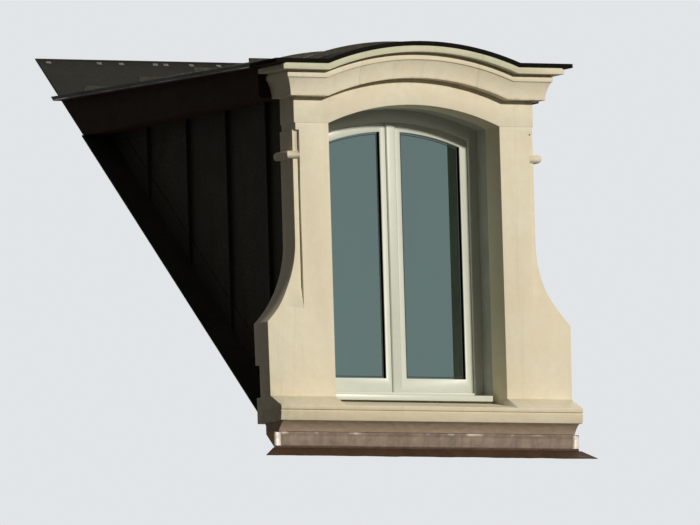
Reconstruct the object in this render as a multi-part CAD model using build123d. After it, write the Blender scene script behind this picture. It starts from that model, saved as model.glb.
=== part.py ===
from build123d import *
from math import asin, cos, radians, sin, sqrt, tan
import os

# Stone-fronted dormer window for a pitched roof, in millimetres.
# +X is to the right seen from outside, +Y runs into the roof and +Z is up.
# The origin lies on the roof slope, in the middle of the front curb's sloping seat.

# Roof slope that carries the dormer
ROOF_PITCH = 40.0
FACE_Y = -40.0
SILL_Z = 225.0

# Opening and its arch
OPENING_HALF = 475.0
SPRING_RISE = 1347.0
ARCH_RISE = 99.0

# Lintel over the arch and the level shoulders beside it
LINTEL_DEPTH = 128.0
SHOULDER_DROP = 98.0

# Stone front
STONE_THICK = 150.0
JAMB_WIDTH = 163.0
LINTEL_EAR = 26.0
JAMB_PROUD = 18.0
PROUD_FADE_RISE = 430.0
PROUD_FADE = 110.0

# Scroll wings, outward from the jambs
NECK_WIDTH = 29.0
NECK_CAP_IN = 10.0
NECK_CAP_DROP = 34.0
WING_WIDTH = 198.0
WING_SPLAY = 4.0
WING_HORN_RISE = 365.0
SCROLL_HEIGHT = 405.0
NECKING_DROP = 157.0
NECKING_HEIGHT = 40.0
NECKING_OUT = 39.0
FLASHING_REBATE = 42.0
FLASHING_REBATE_RISE = 160.0

# Sill stone and its bed
SILL_NOSE = 113.0
SILL_DEPTH = 128.0
SILL_WASH = 53.0
SILL_FILLET = 22.0
SILL_GROOVE = 8.0
SILL_GROOVE_IN = 7.0
SILL_FACE_IN = 10.0
SILL_INNER_DROP = 10.0
SILL_UPSTAND = 12.0
BED_END_IN = 16.0
BED_DRIP = 8.0
BED_TOP_IN = 3.0
BED_DEPTH = 50.0
BED_REACH = 90.0

# Front curb and the lead apron on it, dressed out over the roof covering
CURB_FRONT = 35.0
COVERING_RISE = 34.0
APRON_END_OUT = 8.0
APRON_THICK = 4.0
APRON_TOP_GAP = 2.0
APRON_FLANGE = 75.0
APRON_FLARE = 76.0
APRON_FOLD = 36.0
APRON_FOLD_OUT = 6.0

# Cornice moulding, measured out from the face and up from the lintel's top
CORNICE_END_IN = 14.0
CORNICE_HEIGHT = 155.0
DRIP_OUT = 57.0
DRIP_RISE = 14.0
CAVETTO_OUT = 81.0
CAVETTO_RISE = 88.0
CAVETTO_SAG = 4.0
LISTEL_OUT = 86.0
LISTEL_RISE = 113.0
QUIRK_IN = 8.0
FILLET_OUT = 128.0
FILLET_RISE = 123.0
CENTRE_STONE_HALF = 326.0

# Zinc on the cornice and the roof, which falls to the front
ROOF_FALL = 1.3
ZINC_THICK = 5.0
ZINC_OVERHANG = 45.0
CAP_OVERHANG = 8.0
SEAM_FIRST = 150.0
SEAM_PITCH = 603.0
SEAM_COUNT = 4
SEAM_HEIGHT = 25.0
SEAM_THICK = 8.0
REAR_FLASHING_RISE = 212.0
REAR_FLASHING_TUCK = 100.0

# Timber roof
DECK_THICK = 18.0
DECK_OVER_STONE = 15.0
PLATE_LIFT = 21.0
FASCIA_THICK = 22.0
SOFFIT_THICK = 15.0
JOIST_THICK = 60.0
JOIST_FIRST = 20.0
JOIST_PITCH = 490.0
JOIST_COUNT = 4
TRIMMER_DEPTH = 77.0

# Cheeks
CHEEK_IN = 8.0
CLADDING_THICK = 8.0
CHEEK_WALL_THICK = 95.0
LINING_THICK = 12.0
CHEEK_CURB_DEPTH = 60.0
SIDE_FLASHING_WIDTH = 160.0
SIDE_UPSTAND = 100.0

# Window
REVEAL_LINING = 12.0
WINDOW_SETBACK = 246.0
FRAME_DEPTH = 60.0
FRAME_FACE = 47.0
FRAME_HEAD_FACE = 62.0
FRAME_REBATE = 8.0
FRAME_RAIL = 14.0
POST_LAP = 14.0
BAR_HEIGHT = 33.0
BAR_OUT = 76.0
BAR_NOSE = 68.0
BAR_END_IN = 25.0
BAR_LIP = 14.0
BAR_LIP_DROP = 6.0
BAR_SLOPE = 10.0
SASH_SETBACK = 16.0
SASH_DEPTH = 50.0
SASH_CLEARANCE = 1.5
SASH_STILE = 42.0
MEETING_STILE = 55.0
SASH_TOP_RAIL = 45.0
SASH_BOTTOM_RAIL = 70.0
GLASS_SETBACK = 18.0
GLASS_THICK = 20.0
ASTRAGAL_WIDTH = 52.0
ASTRAGAL_DEPTH = 11.0
ASTRAGAL_CHAMFER = 5.0

# Half-widths worked out from the sizes above
JAMB_HALF = OPENING_HALF + JAMB_WIDTH
LINTEL_HALF = JAMB_HALF + LINTEL_EAR
NECK_HALF = JAMB_HALF + NECK_WIDTH
TOE_HALF = JAMB_HALF + WING_WIDTH
HORN_HALF = TOE_HALF + WING_SPLAY
BED_HALF = TOE_HALF - BED_END_IN
APRON_HALF = TOE_HALF + APRON_END_OUT
CORNICE_BASE_HALF = LINTEL_HALF - CORNICE_END_IN
EAVE_HALF = CORNICE_BASE_HALF + FILLET_OUT
ZINC_HALF = EAVE_HALF + ZINC_OVERHANG
DECK_HALF = ZINC_HALF - ZINC_THICK
CHEEK_HALF = JAMB_HALF - CHEEK_IN
WALL_OUTER = CHEEK_HALF - CLADDING_THICK
WALL_INNER = WALL_OUTER - CHEEK_WALL_THICK
LINING_INNER = WALL_INNER - LINING_THICK
SASH_HALF = OPENING_HALF - FRAME_FACE

# Heights and arch radii worked out from the sizes above
SLOPE = tan(radians(ROOF_PITCH))
FALL = tan(radians(ROOF_FALL))
SPRING_Z = SILL_Z + SPRING_RISE
OPENING_R = (OPENING_HALF**2 + ARCH_RISE**2) / (2 * ARCH_RISE)
ARCH_Z = SPRING_Z + ARCH_RISE - OPENING_R
LINTEL_R = OPENING_R + LINTEL_DEPTH
SASH_R = OPENING_R - FRAME_HEAD_FACE
SHOULDER_Z = ARCH_Z + LINTEL_R - SHOULDER_DROP
PLATE_Z = SHOULDER_Z + PLATE_LIFT
CEILING_Z = PLATE_Z - LINING_THICK
SOFFIT_Z = PLATE_Z - SOFFIT_THICK
DECK_TOP = CORNICE_HEIGHT + DECK_OVER_STONE
DECK_UNDER = DECK_TOP - DECK_THICK
ZINC_TOP = DECK_TOP + ZINC_THICK
SILL_BOTTOM_Z = SILL_Z - SILL_DEPTH
BED_BOTTOM_Z = SILL_BOTTOM_Z - BED_DEPTH
BAR_TOP_Z = SILL_Z + BAR_HEIGHT
SASH_Z = BAR_TOP_Z + FRAME_RAIL

# Depths worked out from the sizes above
STONE_BACK = FACE_Y + STONE_THICK
WINDOW_Y = FACE_Y + WINDOW_SETBACK
WINDOW_BACK = WINDOW_Y + FRAME_DEPTH
BAR_Y = WINDOW_Y - BAR_OUT
BAR_FRONT = BAR_Y - BAR_NOSE
UPSTAND_Y = BAR_Y - SILL_UPSTAND
SASH_Y = WINDOW_Y + SASH_SETBACK
POST_BACK = WINDOW_BACK + POST_LAP
CURB_Y = FACE_Y - CURB_FRONT
BED_BACK = FACE_Y + BED_REACH
NOSE_Y = FACE_Y - SILL_NOSE
MOULDING_FRONT = FACE_Y - FILLET_OUT
CAP_FRONT = MOULDING_FRONT - CAP_OVERHANG

# How far a cut runs past what it cuts, and how far a long one reaches
PAST = 1.0
FAR = 3 * (ZINC_HALF + SHOULDER_Z)


def slope_z(y):
    """Height of the roof slope at a depth."""
    return y * SLOPE


def slope_y(z):
    """Depth at which the roof slope reaches a height."""
    return z / SLOPE


def across(points, x_from, x_to):
    """Solid with a YZ outline, between two places along X."""
    face = Plane.YZ.offset(x_from) * Polygon(*points, align=None)
    return extrude(face, amount=x_to - x_from, dir=(1, 0, 0))


def deep(face, y_from, y_to):
    """Solid with an XZ outline, between two depths."""
    return extrude(Plane.XZ.offset(-y_from) * face, amount=y_to - y_from, dir=(0, 1, 0))


def roof_lift(y):
    """How far the dormer roof has climbed at a depth behind the stone front."""
    return (y - STONE_BACK) * FALL


def rising(face, y_from, y_to):
    """Solid with an XZ outline that climbs with the dormer roof, between two depths."""
    section = Plane.XZ.offset(-y_from) * (Pos(0, roof_lift(y_from)) * face)
    length = (y_to - y_from) / cos(radians(ROOF_FALL))
    return extrude(section, amount=length, dir=(0, cos(radians(ROOF_FALL)), sin(radians(ROOF_FALL))))


def box(x_from, x_to, y_from, y_to, z_from, z_to):
    """Plain square-edged block between two corners."""
    block = Box(x_to - x_from, y_to - y_from, z_to - z_from, align=(Align.MIN, Align.MIN, Align.MIN))
    return Pos(x_from, y_from, z_from) * block


def mirrored(solid):
    """The left-hand twin of a right-hand piece."""
    return mirror(solid, about=Plane.YZ)


def below_slope():
    """Everything under the roof slope, to cut away."""
    return across([(-FAR, slope_z(-FAR)), (FAR, slope_z(FAR)), (FAR, -FAR), (-FAR, -FAR)], -FAR, FAR)


def arched_face(half, radius, z_bottom):
    """Upright XZ face with a segmental head."""
    z_spring = ARCH_Z + sqrt(radius**2 - half**2)
    edges = [
        Line((-half, z_bottom), (half, z_bottom)),
        Line((half, z_bottom), (half, z_spring)),
        ThreePointArc((half, z_spring), (0, ARCH_Z + radius), (-half, z_spring)),
        Line((-half, z_spring), (-half, z_bottom)),
    ]
    return make_face(edges)


def roof_line(offset, half):
    """Flat, arch, flat: the lintel's top, moved outward by an offset."""
    z_flat = SHOULDER_Z + offset
    radius = LINTEL_R + offset
    turn = sqrt(radius**2 - (z_flat - ARCH_Z)**2)
    return [
        Line((-half, z_flat), (-turn, z_flat)),
        ThreePointArc((-turn, z_flat), (0, ARCH_Z + radius), (turn, z_flat)),
        Line((turn, z_flat), (half, z_flat)),
    ]


def band(low, high, half):
    """XZ face between two roof lines."""
    z_low = SHOULDER_Z + low
    z_high = SHOULDER_Z + high
    sides = [Line((-half, z_low), (-half, z_high)), Line((half, z_low), (half, z_high))]
    return make_face(roof_line(low, half) + roof_line(high, half) + sides)


def under_roof_line(offset, half, z_bottom):
    """XZ face from a level bottom up to a roof line."""
    z_flat = SHOULDER_Z + offset
    sides = [
        Line((-half, z_bottom), (-half, z_flat)),
        Line((half, z_bottom), (half, z_flat)),
        Line((-half, z_bottom), (half, z_bottom)),
    ]
    return make_face(roof_line(offset, half) + sides)


def front_curb():
    """Timber wedge that seats the front on the slope."""
    points = [
        (CURB_Y, slope_z(CURB_Y)),
        (BED_BACK, slope_z(BED_BACK)),
        (BED_BACK, BED_BOTTOM_Z),
        (CURB_Y, BED_BOTTOM_Z),
    ]
    return across(points, -BED_HALF, BED_HALF)


def sill_bed():
    """Course between the curb and the sill stone, splayed back from the sill to a drip over the lead."""
    points = [
        (BED_BACK, BED_BOTTOM_Z),
        (CURB_Y - APRON_THICK - BED_DRIP, BED_BOTTOM_Z),
        (NOSE_Y + SILL_FACE_IN + BED_TOP_IN, SILL_BOTTOM_Z),
        (BED_BACK, SILL_BOTTOM_Z),
    ]
    return across(points, -BED_HALF, BED_HALF)


def sill_stone():
    """Moulded sill with stools under the jambs and a washed middle, up to an upstand under the window."""
    z_nose = SILL_Z - SILL_WASH
    z_fillet = z_nose - SILL_FILLET
    z_groove = z_fillet - SILL_GROOVE
    profile = [
        (STONE_BACK, SILL_Z),
        (FACE_Y, SILL_Z),
        (NOSE_Y, z_nose),
        (NOSE_Y, z_fillet),
        (NOSE_Y + SILL_GROOVE_IN, z_fillet),
        (NOSE_Y + SILL_GROOVE_IN, z_groove),
        (NOSE_Y, z_groove),
        (NOSE_Y + SILL_FACE_IN, SILL_BOTTOM_Z),
        (STONE_BACK, SILL_BOTTOM_Z),
    ]
    stone = across(profile, -TOE_HALF, TOE_HALF)
    stone += box(-OPENING_HALF, OPENING_HALF, FACE_Y, BAR_Y, SILL_BOTTOM_Z, SILL_Z)
    wash = [
        (UPSTAND_Y, SILL_Z - SILL_INNER_DROP),
        (UPSTAND_Y, SILL_Z + PAST),
        (NOSE_Y, SILL_Z + PAST),
        (NOSE_Y, z_nose),
    ]
    stone -= across(wash, -OPENING_HALF, OPENING_HALF)
    return stone - below_slope()


def necking_bead():
    """Bead round the neck of the right-hand jamb, mitred at its outer corner."""
    z_mid = SPRING_Z - NECKING_DROP
    z_low = z_mid - NECKING_HEIGHT / 2
    z_high = z_mid + NECKING_HEIGHT / 2
    sunk = FACE_Y + JAMB_PROUD
    side = make_face([
        Line((JAMB_HALF, z_low), (NECK_HALF, z_low)),
        ThreePointArc((NECK_HALF, z_low), (NECK_HALF + NECKING_OUT, z_mid), (NECK_HALF, z_high)),
        Line((NECK_HALF, z_high), (JAMB_HALF, z_high)),
        Line((JAMB_HALF, z_high), (JAMB_HALF, z_low)),
    ])
    front = make_face([
        Line((STONE_BACK, z_low), (sunk, z_low)),
        ThreePointArc((sunk, z_low), (FACE_Y, z_mid), (sunk, z_high)),
        Line((sunk, z_high), (STONE_BACK, z_high)),
        Line((STONE_BACK, z_high), (STONE_BACK, z_low)),
    ])
    reach = NECK_HALF + NECKING_OUT + PAST
    along = extrude(Plane.YZ.offset(JAMB_HALF) * front, amount=reach - JAMB_HALF, dir=(1, 0, 0))
    return deep(side, FACE_Y, STONE_BACK) & along


def scroll_jamb():
    """Right-hand jamb: architrave band, concave scroll wing and necking bead in one stone."""
    z_horn = SILL_Z + WING_HORN_RISE
    z_scroll = z_horn + SCROLL_HEIGHT
    run = HORN_HALF - NECK_HALF
    radius = (SCROLL_HEIGHT**2 + run**2) / (2 * run)
    half_turn = asin(SCROLL_HEIGHT / radius) / 2
    mid = (NECK_HALF + radius - radius * cos(half_turn), z_scroll - radius * sin(half_turn))
    z_cap = SPRING_Z - NECK_CAP_DROP
    cap_half = NECK_HALF - NECK_CAP_IN
    stone = deep(make_face([
        Line((OPENING_HALF, SILL_Z), (TOE_HALF, SILL_Z)),
        Line((TOE_HALF, SILL_Z), (HORN_HALF, z_horn)),
        ThreePointArc((HORN_HALF, z_horn), mid, (NECK_HALF, z_scroll)),
        Line((NECK_HALF, z_scroll), (NECK_HALF, z_cap)),
        Line((NECK_HALF, z_cap), (cap_half, z_cap)),
        Line((cap_half, z_cap), (cap_half, SPRING_Z)),
        Line((cap_half, SPRING_Z), (OPENING_HALF, SPRING_Z)),
        Line((OPENING_HALF, SPRING_Z), (OPENING_HALF, SILL_Z)),
    ]), FACE_Y, STONE_BACK)
    sunk = FACE_Y + JAMB_PROUD
    z_fade = SILL_Z + PROUD_FADE_RISE
    step = [
        (FACE_Y, z_fade),
        (sunk, z_fade + PROUD_FADE),
        (sunk, z_cap),
        (FACE_Y - PAST, z_cap),
        (FACE_Y - PAST, z_fade),
    ]
    stone -= across(step, JAMB_HALF, HORN_HALF + PAST)
    z_rebate = SILL_Z + FLASHING_REBATE_RISE
    y_rebate = STONE_BACK - FLASHING_REBATE
    stone -= box(JAMB_HALF, HORN_HALF + PAST, y_rebate, STONE_BACK + PAST, SILL_Z - PAST, z_rebate)
    return stone + necking_bead()


def lintel():
    """Arched head stone between the jambs' beds and the cornice."""
    block = under_roof_line(0, LINTEL_HALF, SPRING_Z)
    return deep(block - arched_face(OPENING_HALF, OPENING_R, SPRING_Z - PAST), FACE_Y, STONE_BACK)


def moulding_face(place, back, top):
    """Cornice section: drip, cavetto, listel and fillet, laid out by a placing function."""
    run = CAVETTO_OUT - DRIP_OUT
    rise = CAVETTO_RISE - DRIP_RISE
    chord = sqrt(run**2 + rise**2)
    mid_out = DRIP_OUT + run / 2 - CAVETTO_SAG * rise / chord
    mid_up = DRIP_RISE + rise / 2 + CAVETTO_SAG * run / chord
    cavetto = (place(DRIP_OUT, DRIP_RISE), place(mid_out, mid_up), place(CAVETTO_OUT, CAVETTO_RISE))
    return make_face([
        Line(place(back, 0), place(DRIP_OUT, 0)),
        Line(place(DRIP_OUT, 0), place(DRIP_OUT, DRIP_RISE)),
        ThreePointArc(*cavetto),
        Line(place(CAVETTO_OUT, CAVETTO_RISE), place(LISTEL_OUT, CAVETTO_RISE)),
        Line(place(LISTEL_OUT, CAVETTO_RISE), place(LISTEL_OUT, FILLET_RISE)),
        Line(place(LISTEL_OUT, FILLET_RISE), place(FILLET_OUT, FILLET_RISE)),
        Line(place(FILLET_OUT, FILLET_RISE), place(FILLET_OUT, top)),
        Line(place(FILLET_OUT, top), place(back, top)),
        Line(place(back, top), place(back, 0)),
    ])


def cornice_moulding():
    """The whole returned cornice, mitred where flat meets arch and at both ends."""
    top = CORNICE_HEIGHT + SHOULDER_DROP + PAST
    flat_face = moulding_face(lambda out, up: (FACE_Y - out, SHOULDER_Z + up), -STONE_THICK, top)
    flat = extrude(Plane.YZ.offset(-FAR) * flat_face, amount=2 * FAR)
    arch_face = moulding_face(lambda out, up: (FACE_Y - out, ARCH_Z - LINTEL_R - up), -STONE_THICK, top)
    arch = revolve(Plane.YZ * arch_face, axis=Axis((0, 0, ARCH_Z), (0, 1, 0)), revolution_arc=360)
    end_face = moulding_face(lambda out, up: (CORNICE_BASE_HALF + out, SHOULDER_Z + up), -FAR, top)
    end = deep(end_face, MOULDING_FRONT - PAST, STONE_BACK)
    lid = deep(under_roof_line(CORNICE_HEIGHT, FAR, 0), MOULDING_FRONT - PAST, STONE_BACK)
    moulding = flat & arch & end & mirrored(end) & lid
    quirk_y = FACE_Y - LISTEL_OUT + QUIRK_IN
    moulding -= deep(band(LISTEL_RISE, FILLET_RISE, FAR), MOULDING_FRONT - PAST, quirk_y)
    quirk_x = CORNICE_BASE_HALF + LISTEL_OUT - QUIRK_IN
    z_low = SHOULDER_Z + LISTEL_RISE
    side = box(quirk_x, FAR, MOULDING_FRONT - PAST, STONE_BACK, z_low, SHOULDER_Z + FILLET_RISE)
    return moulding - side - mirrored(side)


def cornice_stones():
    """Left, centre and right stones of the cornice."""
    moulding = cornice_moulding()
    reach = [-FAR, -CENTRE_STONE_HALF, CENTRE_STONE_HALF, FAR]
    return [
        moulding & box(reach[i], reach[i + 1], -FAR, FAR, 0, FAR)
        for i in range(3)
    ]


def cornice_cap():
    """Folded zinc over the cornice, turned down over the boards in front and at the eaves."""
    cap = zinc_bay(deep, CAP_FRONT, STONE_BACK, CORNICE_HEIGHT)
    return cap + deep(band(CORNICE_HEIGHT, ZINC_TOP, ZINC_HALF), CAP_FRONT, CAP_FRONT + ZINC_THICK)


def eave_drip(sweep, y_from, y_to, low):
    """Turned-down edge of the zinc at the right-hand eave."""
    z_low = SHOULDER_Z + low
    z_high = SHOULDER_Z + ZINC_TOP
    corners = [(DECK_HALF, z_low), (ZINC_HALF, z_low), (ZINC_HALF, z_high), (DECK_HALF, z_high)]
    return sweep(Polygon(*corners, align=None), y_from, y_to)


def zinc_bay(sweep, y_from, y_to, low):
    """Zinc over one bay of the roof, turned down over the edge of the boards at both eaves."""
    sheet = sweep(band(DECK_TOP, ZINC_TOP, ZINC_HALF), y_from, y_to)
    drip = eave_drip(sweep, y_from, y_to, low)
    return sheet + drip + mirrored(drip)


def seam_places():
    """Depth of each standing seam's front."""
    return [FACE_Y + SEAM_FIRST + SEAM_PITCH * i for i in range(SEAM_COUNT)]


def zinc_sheets():
    """Roof sheets, one bay between each pair of standing seams."""
    starts = seam_places()
    ends = starts[1:] + [FAR]
    sheets = [
        zinc_bay(rising, start + SEAM_THICK, end, DECK_UNDER) - below_slope()
        for start, end in zip(starts, ends)
    ]
    return Compound(children=[part.solid() for part in sheets])


def standing_seams():
    """Upright folded seams that follow the roof line across and turn down at the eaves."""
    face = band(DECK_TOP, ZINC_TOP + SEAM_HEIGHT, ZINC_HALF)
    seams = []
    for y in seam_places():
        drip = eave_drip(rising, y, y + SEAM_THICK, DECK_UNDER)
        seams.append(rising(face, y, y + SEAM_THICK) + drip + mirrored(drip))
    return Compound(children=[seam.solid() for seam in seams])


def roof_deck():
    """Boarded deck under the zinc, thin over the cornice and cut to the slope at the back."""
    over_stone = deep(band(CORNICE_HEIGHT, DECK_TOP, DECK_HALF), CAP_FRONT + ZINC_THICK, STONE_BACK)
    return over_stone + rising(band(DECK_UNDER, DECK_TOP, DECK_HALF), STONE_BACK, FAR) - below_slope()


def under_deck(y_from, y_to):
    """Timber from the wall plates' level up to the climbing deck."""
    face = under_roof_line(DECK_UNDER, EAVE_HALF - FASCIA_THICK, 0)
    return rising(face, y_from, y_to) & box(-FAR, FAR, -FAR, FAR, PLATE_Z, FAR)


def roof_joists():
    """Cambered cross joists on the wall plates."""
    starts = [STONE_BACK + JOIST_FIRST + JOIST_PITCH * i for i in range(JOIST_COUNT)]
    return Compound(children=[under_deck(y, y + JOIST_THICK).solid() for y in starts])


def rear_trimmer():
    """Bevelled trimmer where the dormer roof dies into the slope."""
    return under_deck(slope_y(PLATE_Z) - TRIMMER_DEPTH, FAR) - below_slope()


def fascia():
    """Right-hand eave fascia, deeper toward the back under the climbing deck."""
    z_top = SHOULDER_Z + DECK_UNDER
    points = [
        (STONE_BACK, SOFFIT_Z),
        (FAR, SOFFIT_Z),
        (FAR, z_top + roof_lift(FAR)),
        (STONE_BACK, z_top),
    ]
    return across(points, EAVE_HALF - FASCIA_THICK, EAVE_HALF) - below_slope()


def soffit():
    """Right-hand eave soffit."""
    return box(CHEEK_HALF, EAVE_HALF - FASCIA_THICK, STONE_BACK, FAR, SOFFIT_Z, PLATE_Z) - below_slope()


def slope_strip(y_from, y_to, height, x_from, x_to):
    """Strip that lies on the slope, with upright ends."""
    lift = height / cos(radians(ROOF_PITCH))
    points = [
        (y_from, slope_z(y_from)),
        (y_to, slope_z(y_to)),
        (y_to, slope_z(y_to) + lift),
        (y_from, slope_z(y_from) + lift),
    ]
    return across(points, x_from, x_to)


def strip_end(height, z_limit):
    """Depth where a strip of a height on the slope reaches a level."""
    return slope_y(z_limit - height / cos(radians(ROOF_PITCH)))


def rear_flashing():
    """Zinc apron on the slope behind the dormer roof."""
    y_join = (SHOULDER_Z + ZINC_TOP - STONE_BACK * FALL) / (SLOPE - FALL)
    y_to = y_join + slope_y(REAR_FLASHING_RISE)
    strip = slope_strip(y_join - REAR_FLASHING_TUCK, y_to, ZINC_THICK, -EAVE_HALF, EAVE_HALF)
    return strip - rising(under_roof_line(ZINC_TOP, FAR, 0), STONE_BACK, FAR)


def side_flashing():
    """Right-hand soaker on the slope with its upstand against the cheek."""
    base_end = strip_end(ZINC_THICK, SOFFIT_Z)
    base = slope_strip(STONE_BACK, base_end, ZINC_THICK, CHEEK_HALF, CHEEK_HALF + SIDE_FLASHING_WIDTH)
    up_end = strip_end(SIDE_UPSTAND, SOFFIT_Z)
    return base + slope_strip(STONE_BACK, up_end, SIDE_UPSTAND, CHEEK_HALF, CHEEK_HALF + ZINC_THICK)


def lead_apron():
    """Lead dressed down the curb and out over the roof covering."""
    front = CURB_Y - APRON_THICK
    z_top = BED_BOTTOM_Z - APRON_TOP_GAP
    z_foot = slope_z(front) + COVERING_RISE
    upright = box(-APRON_HALF, APRON_HALF, front, CURB_Y, z_foot, z_top)
    reach = APRON_FLANGE * cos(radians(ROOF_PITCH))
    half = APRON_HALF + APRON_FLARE
    flange = Pos(0, 0, COVERING_RISE) * slope_strip(front - reach, CURB_Y, APRON_THICK, -half, half)
    fold = box(APRON_HALF - APRON_FOLD, APRON_HALF, front - APRON_FOLD_OUT, front, z_foot, z_top)
    return upright + flange + fold + mirrored(fold)


def reveal_outline():
    """Outer XZ face of the reveal lining."""
    return arched_face(OPENING_HALF + REVEAL_LINING, OPENING_R + REVEAL_LINING, SILL_Z)


def reveal_lining():
    """Thin arched board round the reveal, between the stone and the window."""
    board = reveal_outline() - arched_face(OPENING_HALF, OPENING_R, SILL_Z - PAST)
    return deep(board, STONE_BACK, WINDOW_Y)


def side_post():
    """Right-hand timber post behind the stone jamb."""
    post = box(OPENING_HALF, WALL_OUTER, STONE_BACK, POST_BACK, 0, PLATE_Z) - below_slope()
    return post - deep(reveal_outline(), STONE_BACK, WINDOW_Y)


def head_beam():
    """Arched timber head behind the lintel."""
    beam = box(-OPENING_HALF, OPENING_HALF, STONE_BACK, POST_BACK, SPRING_Z, PLATE_Z)
    beam -= deep(arched_face(OPENING_HALF, OPENING_R, SPRING_Z - PAST), STONE_BACK, POST_BACK)
    return beam - deep(reveal_outline(), STONE_BACK, WINDOW_Y)


def sill_trimmer():
    """Timber wedge under the window, bevelled to the slope."""
    points = [(BAR_Y, slope_z(BAR_Y)), (slope_y(SILL_Z), SILL_Z), (BAR_Y, SILL_Z)]
    return across(points, -OPENING_HALF, OPENING_HALF)


def curb_lift():
    """Upright height of the cheek curb."""
    return CHEEK_CURB_DEPTH / cos(radians(ROOF_PITCH))


def cheek_curb():
    """Right-hand timber that lies on the slope under the cheek wall."""
    points = [
        (POST_BACK, slope_z(POST_BACK)),
        (slope_y(PLATE_Z), PLATE_Z),
        (slope_y(PLATE_Z - curb_lift()), PLATE_Z),
        (POST_BACK, slope_z(POST_BACK) + curb_lift()),
    ]
    return across(points, WALL_INNER, WALL_OUTER)


def cheek_wall():
    """Right-hand framed cheek, as deep as its studs."""
    points = [
        (POST_BACK, slope_z(POST_BACK) + curb_lift()),
        (slope_y(PLATE_Z - curb_lift()), PLATE_Z),
        (POST_BACK, PLATE_Z),
    ]
    return across(points, WALL_INNER, WALL_OUTER)


def cheek_cladding():
    """Right-hand sheet on the outside of the cheek."""
    points = [(STONE_BACK, slope_z(STONE_BACK)), (slope_y(SOFFIT_Z), SOFFIT_Z), (STONE_BACK, SOFFIT_Z)]
    return across(points, WALL_OUTER, CHEEK_HALF)


def cheek_lining():
    """Right-hand board on the room side of the cheek."""
    points = [(POST_BACK, slope_z(POST_BACK)), (slope_y(CEILING_Z), CEILING_Z), (POST_BACK, CEILING_Z)]
    return across(points, LINING_INNER, WALL_INNER)


def ceiling_lining():
    """Board under the joists, between the cheeks."""
    return box(-WALL_INNER, WALL_INNER, POST_BACK, FAR, CEILING_Z, PLATE_Z) - below_slope()


def window_bar():
    """Weathered bar under the frame, with a lipped nose over the sill that stops short of the jambs."""
    z_lip = SILL_Z - BAR_LIP_DROP
    points = [
        (BAR_FRONT, z_lip),
        (BAR_FRONT + BAR_LIP, z_lip),
        (BAR_FRONT + BAR_LIP, SILL_Z),
        (WINDOW_BACK, SILL_Z),
        (WINDOW_BACK, BAR_TOP_Z),
        (WINDOW_Y, BAR_TOP_Z),
        (BAR_FRONT, BAR_TOP_Z - BAR_SLOPE),
    ]
    bar = across(points, -OPENING_HALF, OPENING_HALF)
    end = box(OPENING_HALF - BAR_END_IN, FAR, BAR_FRONT - PAST, UPSTAND_Y, z_lip - PAST, BAR_TOP_Z)
    return bar - end - mirrored(end)


def window_frame():
    """Fixed frame inside the reveal, with an arched head and a stop for the leaves."""
    outline = arched_face(OPENING_HALF, OPENING_R, BAR_TOP_Z)
    rebate = arched_face(SASH_HALF + FRAME_REBATE, SASH_R + FRAME_REBATE, SASH_Z - FRAME_REBATE)
    stop = deep(outline - arched_face(SASH_HALF, SASH_R, SASH_Z), WINDOW_Y, SASH_Y)
    return stop + deep(outline - rebate, SASH_Y, WINDOW_BACK)


def pane_outline():
    """Right-hand glass outline, carried through the leaf's depth."""
    pane = arched_face(SASH_HALF - SASH_STILE, SASH_R - SASH_TOP_RAIL, SASH_Z + SASH_BOTTOM_RAIL)
    solid = deep(pane, SASH_Y, SASH_Y + SASH_DEPTH)
    return solid & box(SASH_CLEARANCE + MEETING_STILE, FAR, -FAR, FAR, 0, FAR)


def sash():
    """Right-hand leaf: two stiles, a bottom rail and an arched top rail."""
    lap = FRAME_REBATE - SASH_CLEARANCE
    outline = arched_face(SASH_HALF + lap, SASH_R + lap, SASH_Z - lap)
    leaf = deep(outline, SASH_Y, SASH_Y + SASH_DEPTH)
    leaf &= box(SASH_CLEARANCE, FAR, -FAR, FAR, 0, FAR)
    return leaf - pane_outline()


def glass():
    """Right-hand double-glazed pane."""
    front = SASH_Y + GLASS_SETBACK
    return pane_outline() & box(0, FAR, front, front + GLASS_THICK, 0, FAR)


def astragal():
    """Cover strip over the joint of the two leaves."""
    half = ASTRAGAL_WIDTH / 2
    front = SASH_Y - ASTRAGAL_DEPTH
    section = Polygon(
        (-half, SASH_Y),
        (half, SASH_Y),
        (half, front + ASTRAGAL_CHAMFER),
        (half - ASTRAGAL_CHAMFER, front),
        (ASTRAGAL_CHAMFER - half, front),
        (-half, front + ASTRAGAL_CHAMFER),
        align=None,
    )
    strip = extrude(Plane.XY.offset(SASH_Z) * section, amount=FAR, dir=(0, 0, 1))
    return strip & deep(arched_face(SASH_HALF, SASH_R, SASH_Z), front, SASH_Y)


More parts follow.
